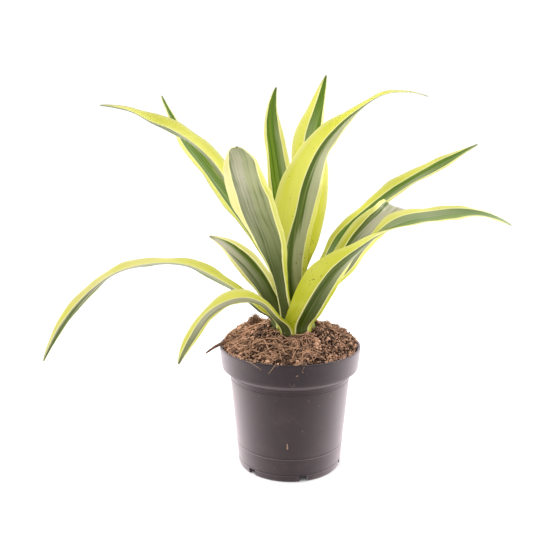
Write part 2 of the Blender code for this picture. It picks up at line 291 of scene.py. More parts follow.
def stripe_group() -> bpy.types.NodeTree:
    """Lime margins, cream lines and a banded green middle with painted sheen and painted shade, read along
    and across a blade in mm.

    Returns:
        The group.
    """
    def fill(bench: Bench, given: dict[str, Term]) -> dict[str, Term]:
        """Add the nodes.

        Args:
            bench: The group's bench.
            given: The group's inputs by name.

        Returns:
            Its outputs by name.
        """
        along, share, crease, green_dark = given["Along"], given["Share"], given["Crease"], given["Dark"]
        ash_fade_and_sheen = abs(given["Bleach"])

        def grain(wide: float, long: float, shift: float = 0.0, detail: float = 2.0) -> Term:
            """Give noise that is drawn out along the blade."""
            return bench.noise(bench.vector(x * wide, along * long, given["Seed"] + shift), 1.0, detail)

        # Where a point lies in the green middle, which wanders a little.
        drift = bench.noise(bench.vector(along * 0.03, given["Seed"]))
        x = given["Across"] + (drift - 0.5) * 2.0
        lines, vein, wide = grain(1.3, 0.012, 0.0, 3.0), grain(3.4, 0.03), grain(0.42, 0.006, 9.0)
        streak, cloud = grain(1.1, 0.008, 5.0), grain(0.07, 0.022)
        inside = bench.math("MINIMUM", x - given["Left"], given["Right"] - x) + (lines - 0.5)
        span = bench.math("MAXIMUM", given["Right"] - given["Left"], 0.5)
        part = (x - given["Left"]) / span
        fold = (part - crease) * span

        # The middle: dark at the base, partly its own dark green and partly painted shade in the crown, and
        # paler on one side of the crease and toward the end, partly its own paler tone and partly painted
        # sheen.
        past_dark_shaded_base = ((share / given["Reach"] - 0.35) * 1.54).held()
        second_side = bench.math("LESS_THAN", given["Bleach"], 0.0) * part.step(0.4, 0.6)
        faded = share.step(0.15, 0.7) * (1.0 - second_side)
        pale = bench.mix(ash_fade_and_sheen * faded, given["Pale"], given["Ash"])
        lean = (part - crease) * given["Tilt"] + (wide * 0.65 + cloud * 0.35 - 0.5) * 1.7
        tip = share.step(0.7, 0.9) * (1.3 - ash_fade_and_sheen * 1.4).held()
        # The sheen is painted sheen in the colour: it pales one side of the crease, less in the base's
        # painted shade, and not at the dark tip.
        sheen = lean.step(-0.08, 0.34) * given["Sheen"] * (past_dark_shaded_base * 0.88 + 0.12) * (1.0 - tip)
        middle = bench.mix(past_dark_shaded_base, given["Deep"], bench.mix(wide.step(0.4, 0.62), green_dark, given["Green"]))
        middle = bench.mix(sheen, middle, pale)
        # Pale streaks are painted sheen as well; the dark streaks are the leaf's own.
        middle = bench.mix(streak.step(0.56, 0.7, 0.24), middle, pale)
        middle = bench.mix(streak.step(0.42, 0.26, 0.22), middle, green_dark)
        crease_line = abs(fold).step(0.9, 0.2, 0.55) * share.step(0.85, 0.5)
        middle = bench.mix(bench.math("MAXIMUM", crease_line, tip * 0.6), middle, green_dark)

        # The margins: greener and darker at the base, partly their own colour and partly painted shade in
        # the crown, clouded, and bone where the leaf has faded.
        rim_past_dark_shaded_base = bench.math("MAXIMUM", (share - 0.05) / (given["Reach"] * 1.3), 0.0).held()
        rim = bench.mix(rim_past_dark_shaded_base, given["Lime base"], given["Lime"])
        rim = bench.mix(cloud.step(0.35, 0.7, 0.4), rim, given["Lime light"])
        outer = abs(given["Edge"]).step(0.7, 1.0, 0.45) * share.step(0.15, 0.5)
        rim = bench.mix(outer, rim, given["Cream"])
        rim = bench.mix(given["Bone"] * faded * cloud.step(0.1, 0.6), rim, given["Bone colour"])
        rim = bench.mix(lines.step(0.6, 0.75, 0.16), rim, given["Green"])
        rim = bench.mix(inside.step(-1.2, -0.3, 0.4), rim, given["Lime light"])

        # Both, with a cream line between, the veins' shade, each leaf's painted light and shade, a dark tip
        # and a few specks.
        colour = bench.mix(inside.step(-0.2, 0.3), rim, middle)
        colour = bench.mix(abs(inside + 0.5).step(0.85, 0.1, 0.8), colour, given["Cream"])
        # The Shade trait is painted light and shade on the whole blade: below 1 darker, above 1 lighter, for
        # how much light reaches that leaf.
        shade = given["Shade"] * (vein * 0.12 + 0.94)
        colour = bench.mix(1.0, colour, bench.vector(shade, shade, shade), "MULTIPLY")
        colour = bench.mix(share.step(0.93, 1.0, 0.5), colour, given["Deep"])
        spot = bench.vector(given["Across"] * 0.55, along * 0.45, given["Seed"])
        specks = (bench.noise(spot, 1.0, 1.0) + share.step(0.45, 0.15, 0.06)).step(0.77, 0.8, 0.75)
        return {"Color": bench.mix(specks, colour, given["Speck"]), "Height": vein * 0.55 + lines * 0.45,
                "Gloss": vein}

    return make_group(
        "Leaf stripes", fill, [*sum(MAPS.values(), ()), *TRAITS, "Sheen"],
        ["Lime", "Lime base", "Lime light", "Cream", "Bone colour", "Green", "Dark", "Deep", "Pale", "Ash",
         "Speck"],
        [("Color", "Color"), ("Height", "Float"), ("Gloss", "Float")])


def blank_material(name: str) -> tuple[bpy.types.Material, Bench, bpy.types.Node]:
    """Make a material with nodes.

    Args:
        name: Its name.

    Returns:
        The material, its bench and its Principled shader.
    """
    made = bpy.data.materials.new(name)
    made.use_nodes = True
    return made, Bench(made.node_tree), made.node_tree.nodes["Principled BSDF"]


@dataclass(frozen=True)
class LeafFinish:
    """Colours and gloss of one face of a blade, with pale and ash colours that are partly its own tone and
    partly painted sheen.
    """

    name: str
    green: Colour
    dark: Colour
    deep: Colour
    pale: Colour
    # How strongly the pale and ash colours, partly painted sheen, show in the middle.
    sheen: float
    roughness: float
    lime: Colour = srgb(200, 199, 62)
    lime_base: Colour = srgb(160, 163, 14)
    lime_light: Colour = srgb(214, 212, 106)
    cream: Colour = srgb(216, 211, 156)
    bone_colour: Colour = srgb(208, 198, 138)
    ash: Colour = srgb(172, 166, 146)
    speck: Colour = srgb(96, 62, 30)

    def build(self) -> bpy.types.Material:
        """Make the material.

        Returns:
            The material.
        """
        made, bench, shader = blank_material(self.name)
        values = {name: value for name, value in vars(self).items() if name not in ("name", "roughness")}
        for title, pair in MAPS.items():
            values.update(zip(pair, bench.split(bench.read("UVMap", 0, uv_map=title))))
        for title in TRAITS:
            values[title] = bench.read("Attribute", "Fac", attribute_name="leaf_" + title.lower())
        out = bench.group(stripe_group(), **{name.capitalize(): value for name, value in values.items()})
        bench.feed(shader, {
            "Base Color": out["Color"], "Roughness": out["Gloss"] * 0.12 + (self.roughness - 0.06),
            "Normal": bench.bump(out["Height"], 0.25, 0.3 * MM), "Specular IOR Level": 0.15})
        return made


@dataclass(frozen=True)
class PlasticFinish:
    """Dull moulded plastic with faint draw marks and dust."""

    name: str = "pot_plastic_worn"
    colour: Colour = srgb(32, 19, 22)
    dust: Colour = srgb(112, 94, 88)
    roughness: float = 0.42
    sheen: float = 0.95

    def build(self) -> bpy.types.Material:
        """Make the material.

        Returns:
            The material.
        """
        made, bench, shader = blank_material(self.name)
        grain, blotch = (bench.group(grain_group(), Size=size) for size in (900.0, 160.0))
        x, y, z = bench.split(bench.place())
        around = bench.math("ARCTAN2", y, x)
        draw_marks = bench.noise(bench.vector(around * 60.0, z * 40.0), 1.0, 3.0)
        smear = bench.noise(bench.vector(around * 2.5, z * 60.0), 1.0, 3.0)
        splash = z.step(30 * MM, 0.0) * 0.5 + z.step(94 * MM, 104 * MM) * 0.8
        dirt = (blotch["Fine"].step(0.58, 0.7) * (splash + 0.06) * 0.35).held()
        flecks = bench.noise(bench.place(), 520.0, 0.0).step(0.83, 0.86, 0.6)
        colour = bench.mix(smear.step(0.45, 0.75, 0.07), self.colour, self.dust)
        bench.feed(shader, {
            "Base Color": bench.mix(bench.math("MAXIMUM", dirt, flecks), colour, self.dust),
            "Roughness": blotch["Wide"] * 0.08 + self.roughness + dirt * 0.5,
            "Normal": bench.bump(grain["Fine"] * 0.4 + draw_marks * 0.6, 0.2, 0.15 * MM),
            "Specular IOR Level": 0.1, "Sheen Weight": self.sheen, "Sheen Roughness": 0.5,
            "Sheen Tint": srgb(255, 240, 246)})
        return made


@dataclass(frozen=True)
class EarthFinish:
    """Brown peat, coir or bark, toned piece by piece through a point attribute."""

    name: str
    deep: Colour
    light: Colour
    size: float = 900.0
    bump: float = 0.6

    def build(self) -> bpy.types.Material:
        """Make the material.

        Returns:
            The material.
        """
        made, bench, shader = blank_material(self.name)
        grain = bench.group(grain_group(), Size=self.size)
        tone = bench.read("Attribute", "Fac", attribute_name="tone")
        share = (tone + (grain["Fine"] - 0.5) * 0.9).held()
        bench.feed(shader, {
            "Base Color": bench.mix(share, self.deep, self.light), "Roughness": grain["Wide"] * 0.2 + 0.78,
            "Normal": bench.bump(grain["Fine"], 0.6, self.bump * MM), "Specular IOR Level": 0.25})
        return made


def quiet() -> None:
    """Leave edit mode and deselect everything."""
    if bpy.context.mode != "OBJECT":
        bpy.ops.object.mode_set(mode="OBJECT")
    bpy.ops.object.select_all(action="DESELECT")


def activate(obj: bpy.types.Object) -> None:
    """Select one object alone and make it active.

    Args:
        obj: The object.
    """
    quiet()
    obj.select_set(True)
    bpy.context.view_layer.objects.active = obj


@contextmanager
def editing(obj: bpy.types.Object, outward: bool = True) -> Iterator[None]:
    """Open an object in edit mode for a while, with all of it selected.

    Args:
        obj: The object.
        outward: Whether its faces are turned outwards at the end.

    Returns:
        The context in which it is open.
    """
    activate(obj)
    bpy.ops.object.mode_set(mode="EDIT")
    bpy.ops.mesh.select_all(action="SELECT")
    yield
    if outward:
        bpy.ops.mesh.select_all(action="SELECT")
        bpy.ops.mesh.normals_make_consistent(inside=False)
    bpy.ops.object.mode_set(mode="OBJECT")


def primitive(name: str, call: Callable[..., Any], **settings: Any) -> bpy.types.Object:
    """Add a primitive and name it.

    Args:
        name: The object's name.
        call: The primitive's operator.
        settings: Its arguments, in metres.

    Returns:
        The new object, selected and active.
    """
    quiet()
    call(**settings)
    made = bpy.context.active_object
    made.name = made.data.name = name
    return made


def modify(obj: bpy.types.Object, kind: str, **settings: Any) -> None:
    """Add a modifier and apply it.

    Args:
        obj: The object.
        kind: The modifier's type.
        settings: Its properties to set.
    """
    added = obj.modifiers.new(kind.capitalize(), kind)
    for name, value in settings.items():
        setattr(added, name, value)
    activate(obj)
    bpy.ops.object.modifier_apply(modifier=added.name)


def settle() -> None:
    """Move the active object's place, turn and scale into its mesh."""
    bpy.ops.object.transform_apply(location=True, rotation=True, scale=True)


def smooth_by_angle(degrees: float) -> None:
    """Shade the active object smooth, apart from edges sharper than an angle."""
    bpy.ops.object.shade_smooth_by_angle(angle=math.radians(degrees))


def hand_over(obj: bpy.types.Object, slot: str, *nodes: str) -> None:
    """Give a piece to the body that carries it.

    Args:
        obj: The finished piece.
        slot: The record's material slot; not used.
        nodes: The solids that it stands for.
    """
    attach(obj, "root")
    if nodes:
        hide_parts(*nodes)
    LOG.info("%s: %d faces", obj.name, len(obj.data.polygons))


def set_values(mesh: bpy.types.Mesh, name: str, values: Any) -> None:
    """Store one number for each vertex of a mesh, or the same number for all."""
    layer = mesh.attributes.new(name, "FLOAT", "POINT")
    layer.data.foreach_set("value", np.full(len(mesh.vertices), values, np.float32))


def azimuth(degrees: float) -> np.ndarray:
    """Give the level direction at an angle from +X."""
    a = math.radians(degrees)
    return np.array((math.cos(a), math.sin(a), 0.0))


@dataclass(frozen=True)
class Crown:
    """Where the leaf bases sit, millimetres, as in the solids."""

    leaf_bottom: float = 114.0
    inner_radius: float = 8.0
    step: float = 1.1
    rise: float = 2.6
    count: int = 13

    def radius(self, order: int) -> float:
        """Give the radius at which a leaf's base wraps the cane."""
        return self.inner_radius + self.step * order

    def height(self, order: int) -> float:
        """Give the level at which a leaf's base starts."""
        return self.leaf_bottom + self.rise * (self.count - order)


@dataclass
class Leaf:
    """One strap leaf: a grid bent along a listed midrib, thickened and striped. Millimetres, degrees.

    The order counts outward from the cane. The base is where round the cane the leaf starts, the
    reference the way that it leans, the sheath how far it first runs straight up, and the wave how
    high its edges ripple.

    The tilt says which side of the crease is paler, and how much: above 0 the second side. That pale is
    partly the leaf's own paler tone and partly painted sheen. The bleach is how far the middle of the
    outer half has faded to ash, partly the leaf's own fading and partly painted sheen, below 0 on the
    first side alone, and the bone is the same for its margins. The reach is the share of the length
    where the base's dark ends, a dark that is partly the leaf's own green and partly painted shade in
    the crown, and the shade is painted light and shade that makes the whole blade darker or lighter.

    A row holds x, y, z, the two half widths, roll, cup, and the two edges of the green middle.
    """

    name: str
    order: int
    base: float
    reference: float
    sheath: float
    wave: float
    base_half: float
    base_green: tuple[float, float]
    rows: list[Row]
    tilt: float
    crease: float
    bleach: float
    reach: float
    shade: float
    bone: float
    seed: float = 0.0
    thickness: float = 0.62
    least_half: float = 0.4
    least_cup: float = 1.0
    widest_wrap: float = 80.0
    tip_slope: float = 1.3
    broad_wave: float = 9.0
    fine_wave: float = 3.7
    fine_share: float = 0.3
    far_edge: float = 1.9
    full_wave_width: float = 20.0
    wave_onset: float = 4.0
    row_count: int = 100
    column_count: int = 18
    crown: Crown = Crown()

    def all_rows(self) -> list[Row]:
        """Find all the rows along the midrib.

        Returns:
            The two rows on the cane and then the free ones.
        """
        r = self.crown.radius(self.order)
        x, y, _ = np.array((AXIS_X, 0.0, 0.0)) + r * azimuth(self.base)
        half = min(self.base_half, r * math.radians(self.widest_wrap))
        turn = (self.base - self.reference + 180.0) % 360.0 - 180.0
        low = self.crown.height(self.order)
        tail = (half, half, turn, math.degrees(2.0 * half / r), *self.base_green)
        return [(x, y, low, *tail), (x, y, low + self.sheath, *tail)] + self.rows

    def spline(self) -> tuple[Callable[[float], Form], np.ndarray]:
        """Lay a smooth curve through the rows.

        Returns:
            What gives the curve at a share of its length, and the length at each row.
        """
        values = np.array(self.all_rows(), float)
        steps = np.linalg.norm(np.diff(values[:, :3], axis=0), axis=1)
        at = np.concatenate(([0.0], np.cumsum(steps)))
        slopes = np.zeros_like(values)
        for i in range(1, len(values) - 1):
            before = (values[i] - values[i - 1]) / (at[i] - at[i - 1])
            after = (values[i + 1] - values[i]) / (at[i + 1] - at[i])
            share = (at[i] - at[i - 1]) / (at[i + 1] - at[i - 1])
            slopes[i] = before * (1.0 - share) + after * share
        slopes[:2, :3] = (0.0, 0.0, 1.0)
        slopes[1, 3:] = 0.0
        slopes[-1] = 2.0 * (values[-1] - values[-2]) / (at[-1] - at[-2]) - slopes[-2]
        slopes[-1, 3:] = (values[-1, 3:] - values[-2, 3:]) / (at[-1] - at[-2]) * self.tip_slope

        def evaluate(s: float) -> Form:
            """Read the curve.

            Args:
                s: The share of the length.

            Returns:
                The row there, and the direction.
            """
            t = min(max(s, 0.0), 1.0) * at[-1]
            i = int(min(np.searchsorted(at, t, side="right") - 1, len(at) - 2))
            h = at[i + 1] - at[i]
            u = (t - at[i]) / h
            spot = (2 * u**3 - 3 * u**2 + 1) * values[i] + (u**3 - 2 * u**2 + u) * h * slopes[i]
            spot = spot + (3 * u**2 - 2 * u**3) * values[i + 1] + (u**3 - u**2) * h * slopes[i + 1]
            turn = (6 * u**2 - 6 * u) / h * (values[i] - values[i + 1])
            turn = turn + (3 * u**2 - 4 * u + 1) * slopes[i] + (3 * u**2 - 2 * u) * slopes[i + 1]
            return spot, turn[:3] / np.linalg.norm(turn[:3])

        return evaluate, at

    def ripple(self, v: float, length: float, width: float) -> float:
        """Give how far the edge's waves lift a point.

        Args:
            v: The point's place across, from -1 to 1.
            length: Its distance along the blade.
            width: The blade's width there.

        Returns:
            The lift, millimetres.
        """
        shift = self.far_edge if v > 0 else 0.0
        broad = math.sin(length / self.broad_wave + shift + 0.6 * len(self.name))
        fine = math.sin(length / self.fine_wave + 2.3 * shift + self.seed) * self.fine_share
        return self.wave * (broad * v * v + fine * v**4) * min(1.0, width / self.full_wave_width)

    def surface(self) -> Form:
        """Lay out the blade's middle surface.

        Returns:
            Its points in metres, and for each one what the UV maps hold.
        """
        evaluate, at = self.spline()
        points, pattern = [], []
        for i in range(self.row_count + 1):
            s = i / self.row_count
            spot, along = evaluate(s)
            left, right, roll, cup, green_left, green_right = spot[3:]
            left, right = max(left, self.least_half), max(right, self.least_half)
            across = azimuth(self.reference + 90.0)
            across = across - along * across.dot(along)
            across = across / np.linalg.norm(across)
            a = math.radians(roll)
            side = across * math.cos(a) + np.cross(along, across) * math.sin(a)
            upper = np.cross(along, side)
            bend = math.radians(cup if abs(cup) > self.least_cup else self.least_cup) / (left + right)
            free = min(1.0, max(0.0, (s - at[1] / at[-1]) * self.wave_onset))
            for j in range(self.column_count + 1):
                v = 2.0 * j / self.column_count - 1.0
                u = v * (left if v < 0 else right)
                lift = free * self.ripple(v, s * at[-1], left + right)
                point = spot[:3] + side * math.sin(bend * u) / bend
                point = point + upper * ((1.0 - math.cos(bend * u)) / bend + lift)
                points.append(point * MM)
                pattern.append((u, s * at[-1], green_left, green_right, s, v))
        return np.array(points), np.array(pattern, np.float32)

    def build(self, finishes: dict[Face, bpy.types.Material]) -> None:
        """Make the blade.

        Args:
            finishes: The material of each face.
        """
        obj = primitive(
            self.name.replace("leaf", "blade"), bpy.ops.mesh.primitive_grid_add,
            x_subdivisions=self.column_count, y_subdivisions=self.row_count, size=1.0)
        mesh = obj.data
        points, pattern = self.surface()
        mesh.vertices.foreach_set("co", points.ravel())
        while mesh.uv_layers:
            mesh.uv_layers.remove(mesh.uv_layers[0])
        corner = np.zeros(len(mesh.loops), np.int32)
        mesh.loops.foreach_get("vertex_index", corner)
        for k, title in enumerate(MAPS):
            mesh.uv_layers.new(name=title).data.foreach_set("uv", pattern[corner, 2 * k:2 * k + 2].ravel())
        for face in (Face.LOWER, Face.UPPER):
            mesh.materials.append(finishes[face])
        mesh.update()
        modify(obj, "SOLIDIFY", thickness=self.thickness * MM, offset=0.0, material_offset=1,
               material_offset_rim=0)
        for trait in map(str.lower, TRAITS):
            set_values(mesh, "leaf_" + trait, getattr(self, trait))
        smooth_by_angle(50)
        hand_over(obj, "leaf_blade", self.name)


# A leaf's shade is painted light and shade on its colour, and its reach sets how far the base's painted
# shade runs.
LEAVES = [
    Leaf("leaf_a", 4, 172, 178, 12, 0.9, 12, (-6, 6), [
        (-16, -5, 172, 7, 8, 8, 80, -5, 3),
        (-42, -5, 223, 12, 13, 20, 50, -10, 4),
        (-67, 0, 262, 14, 14.5, 27, 40, -13, 1.5),
        (-98, 2, 286, 12.5, 11.5, 27, 40, -11.5, -2.5),
        (-112, 1, 291, 11, 9.5, 25, 40, -10, -2),
        (-132, 0, 300, 6.5, 5.5, 20, 30, -6, -0.5),
        (-153, -2, 303, 0.7, 0.7, 10, 10, -0.6, 0.6),
    ], tilt=0.6, crease=0.5, bleach=0.1, reach=0.3, shade=0.8, bone=0.1),
    Leaf("leaf_b", 6, 140, 150, 12, 0.8, 12, (-6, 6), [
        (-18, 13, 173, 12, 14, 0, 80, -6, 6),
        (-34, 22, 199, 13, 16, 0, 50, -8, 8),
        (-54, 30, 226, 15, 17, 0, 40, -10, 7),
        (-73, 38, 251, 14, 16, 0, 40, -10, 6),
        (-90, 44, 273, 11, 12, 0, 30, -8, 6),
        (-104, 50, 297, 4, 5, 0, 30, -3, 3.5),
        (-112, 54, 314, 0.7, 0.7, 0, 10, -0.6, 0.6),
    ], tilt=0.3, crease=0.4, bleach=0.15, reach=0.3, shade=0.96, bone=0.15),
    Leaf("leaf_c", 11, 254, 250, 8, 1.0, 6.5, (-5, 3.5), [
        (-7, -27, 152, 5.5, 5.5, 0, 50, -4.5, 3.5),
        (-12, -34, 178, 8.5, 8.5, 0, 50, -7, 5),
        (-18, -49, 200, 15.5, 13, 0, 40, -13, 9),
        (-28.5, -76, 230, 19.5, 15, 0, 30, -12, 11),
        (-34, -106, 254, 15, 13, 0, -10, -10, 9),
        (-36, -124, 265, 10, 9.5, 0, -40, -8, 8),
        (-37, -138, 270, 6, 6, 0, -50, -5.5, 5.5),
        (-37.5, -150, 271.5, 0.7, 0.7, 0, -20, -0.6, 0.6),
    ], tilt=0.22, crease=-0.6, bleach=-0.8, reach=0.78, shade=1, bone=0.8),
    Leaf("leaf_d", 2, 100, 98, 14, 0.8, 12, (-6, 6), [
        (-2, 22, 190, 11, 10, 0, 70, -8, 8),
        (-5, 33, 213, 12, 10, 0, 50, -9, 8),
        (-8, 43, 238, 12, 11, 0, 40, -8, 8),
        (-11, 53, 259, 11, 9, 0, 40, -7, 7),
        (-14, 65, 281, 9, 8.5, 0, 30, -6, 6),
        (-15, 79, 303, 5, 5, 0, 30, -4, 3.8),
        (-11, 93, 324, 0.7, 0.7, 0, 10, -0.6, 0.6),
    ], tilt=-1, crease=0.45, bleach=0.3, reach=0.12, shade=1.03, bone=0.25),
    Leaf("leaf_e", 5, 275, 345, 12, 1.2, 12, (-8, 5), [
        (1, -20, 189, 16, 15, -60, 50, -5.5, 9.5),
        (4, -26, 219, 19, 19, -55, 40, -1, 14),
        (10, -30, 246, 18, 18, -50, 40, -1, 14.5),
        (20, -30, 268, 14, 15, -40, 40, -1, 13),
        (49, -26, 298, 6.5, 8, -20, 30, -1, 6),
        (73, -22, 311, 5, 4, 0, 30, -1, 3),
        (105, -18, 309, 0.7, 0.7, 0, 10, -0.4, 0.4),
    ], tilt=1.3, crease=0.34, bleach=0.1, reach=0.1, shade=1, bone=0.05),
    Leaf("leaf_f", 1, 62, 82, 14, 1.0, 12, (-5, 5), [
        (11, 13, 196, 15, 14, 0, 60, -6, 5),
        (16, 20, 225, 16, 16, 0, 45, -6, 5),
        (17, 27, 250, 16, 16, 0, 40, -7, 4),
        (18, 35, 276, 11, 15, 0, 40, -8, 5),
        (24, 43, 301, 6, 9, 0, 30, -5, 3),
        (32, 52, 331, 0.7, 0.7, 0, 10, -0.6, 0.6),
    ], tilt=1, crease=0.4, bleach=0.1, reach=0.1, shade=1.18, bone=0.1),
    Leaf("leaf_g", 7, 20, 15, 12, 1.0, 12, (-6, 6), [
        (27, 11, 163, 12, 11, 0, 80, -9, 6),
        (42, 18, 189, 13, 12, 12, 50, -10, 7),
        (73, 29, 222, 12, 8, 22, 40, -9, 1),
        (96, 34, 236, 9, 11, 24, 40, -6.5, 3.5),
        (139, 39, 259, 6.5, 7, 20, 30, -5, 4),
        (163, 40, 272, 0.7, 0.7, 15, 10, -0.6, 0.6),
    ], tilt=-1.2, crease=0.6, bleach=0.4, reach=0.3, shade=0.92, bone=0.12),
    Leaf("leaf_h", 8, 300, 285, 8, 1.0, 12, (-6, 6), [
        (26, -13, 156, 13, 13, 19, 60, -7, 8),
        (44, -10, 177, 15, 16, 15, 45, -8, 10.5),
        (58, -6, 196, 15.5, 17, 19, 40, -9, 11.5),
        (71, -1, 208.5, 14.5, 17, 28, 35, -10, 12),
        (81, 4, 216.5, 12, 14, 21, 25, -9, 11),
        (88, 12, 220.5, 10, 12, 18, 15, -8, 9),
        (91, 21, 217.5, 9, 9, 17, 15, -6, 7),
        (91, 28, 208, 5.5, 5.5, 19, 15, -4, 4),
        (90, 32, 201, 0.7, 0.7, 20, 10, -0.7, 0.7),
    ], tilt=0.8, crease=0.05, bleach=0.9, reach=0.8, shade=1.12, bone=0.12),
    Leaf("leaf_i", 12, 278, 340, 6, 1.0, 12, (-2, 8), [
        (12, -29, 141, 14, 14.5, -60, 50, -2.2, 10.5),
        (31, -34, 172, 18, 14.5, -45, 45, -3.5, 9.5),
        (54, -35, 192, 15, 15, -10, 40, -7, 10),
        (78, -27, 208, 16, 15, 18, 40, -12, 8),
        (121, -6, 215, 14, 13, 20, 40, -11, 8),
        (164, 12, 214, 7, 6, 18, 30, -5, 4),
        (192, 26, 203, 0.7, 0.7, 10, 10, -0.6, 0.6),
    ], tilt=1.5, crease=0.45, bleach=0.35, reach=0.4, shade=0.97, bone=0.3),
    Leaf("leaf_l", 10, 205, 191, 3, 1.0, 9, (-9, 5), [
        (-25.5, -12, 136.5, 7.5, 7, 24, 50, -6, 2),
        (-43.5, -13, 153, 9, 9, 28, 45, -8, 1.5),
        (-58, -14, 162.5, 10.5, 11, 27, 40, -9, 1.5),
        (-85, -17, 176, 11.5, 11.5, 27, 40, -9, 1.5),
        (-113, -22, 178, 11.5, 11, 24, 40, -9, 1.5),
        (-141, -28, 171.5, 10.5, 9.5, 28, 40, -8, 1),
        (-166.5, -34, 151.5, 8, 7, 38, 40, -7, 1.5),
        (-183.5, -40, 129.5, 6, 5.5, 44, 30, -5, 1.5),
        (-196, -46, 104, 0.7, 0.7, 30, 10, -0.6, 0.6),
    ], tilt=0.5, crease=0.3, bleach=0.85, reach=0.3, shade=0.97, bone=0.8),
    Leaf("leaf_m", 13, 254, 222, 4, 0.9, 6, (-4, 3.5), [
        (-14, -31, 137, 5, 4.5, 14, 45, -4, 2),
        (-24, -39, 149.5, 6, 5, 30, 45, -4, 1.5),
        (-43, -49, 155.5, 9, 10, 48, 45, -6.5, 1),
        (-63, -58, 146.5, 10, 6.5, 75, 40, -5, 2.5),
        (-78, -63, 127, 6.5, 5.5, 90, 30, -4, 1.5),
        (-87, -65, 108, 0.7, 0.7, 90, 10, -0.6, 0.6),
    ], tilt=0.8, crease=-0.1, bleach=0.6, reach=0.35, shade=0.88, bone=0.2),
    Leaf("leaf_n", 9, 228, 238, 6, 0.8, 11, (-8, 8), [
        (-17.5, -19, 151, 12, 8.5, 12, 60, -8, 5.5),
        (-27.5, -25.5, 169, 13, 10.5, 20, 45, -9, 6.3),
        (-40, -33, 185, 10, 9.5, 25, 40, -7, 5.8),
        (-53, -38, 197, 5.5, 5.5, 25, 30, -4, 3.3),
        (-64, -41, 203, 0.7, 0.7, 25, 10, -0.6, 0.6),
    ], tilt=-0.6, crease=0.65, bleach=0.95, reach=0.9, shade=1.06, bone=0.7),
    Leaf("leaf_back", 12, 95, 92, 8, 1.0, 12, (-6, 6), [
        (3, 40, 168, 14, 14, 0, 50, -6, 7),
        (2, 62, 196, 15, 15, 0, 40, -8, 6),
        (0, 90, 216, 14, 14, 0, 40, -7, 8),
        (0, 122, 222, 10, 10, 0, 30, -6, 6),
        (2, 150, 213, 0.7, 0.7, 0, 10, -0.6, 0.6),
    ], tilt=0.3, crease=0.5, bleach=0.4, reach=0.3, shade=1, bone=0.3),
    Leaf("leaf_spear", 0, 300, 300, 20, 0.0, 12, (-4, 4), [
        (5, -3, 190, 8, 8, 0, 150, -3, 3),
        (8, 0, 222, 5, 5, 0, 120, -2, 2),
        (9, 1, 240, 0.7, 0.7, 0, 20, -0.4, 0.4),
    ], tilt=0, crease=0.5, bleach=0, reach=0.2, shade=1, bone=0),
]


@dataclass
class Foliage:
    """All the leaves and the cane's bark."""

    upper: LeafFinish = LeafFinish(
        "leaf_upper_face", srgb(102, 126, 26), srgb(72, 100, 12), srgb(56, 76, 10), srgb(124, 138, 88),
        0.7, 0.36, ash=srgb(156, 156, 124))
    lower: LeafFinish = LeafFinish(
        "leaf_lower_face", srgb(98, 113, 46), srgb(68, 86, 16), srgb(54, 66, 8), srgb(154, 156, 116),
        0.95, 0.42)
    bark: EarthFinish = EarthFinish("cane_bark", srgb(120, 122, 62), srgb(168, 166, 96), 600.0)
    first_seed: float = 1.0
    seed_step: float = 3.7

    def build(self) -> None:
        """Make every leaf and dress the cane."""
        finishes = {Face.UPPER: self.upper.build(), Face.LOWER: self.lower.build()}
        for index, leaf in enumerate(LEAVES):
            leaf.seed = self.seed_step * index + self.first_seed
            leaf.build(finishes)
        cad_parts["stem"].material_slots[0].material = self.bark.build()


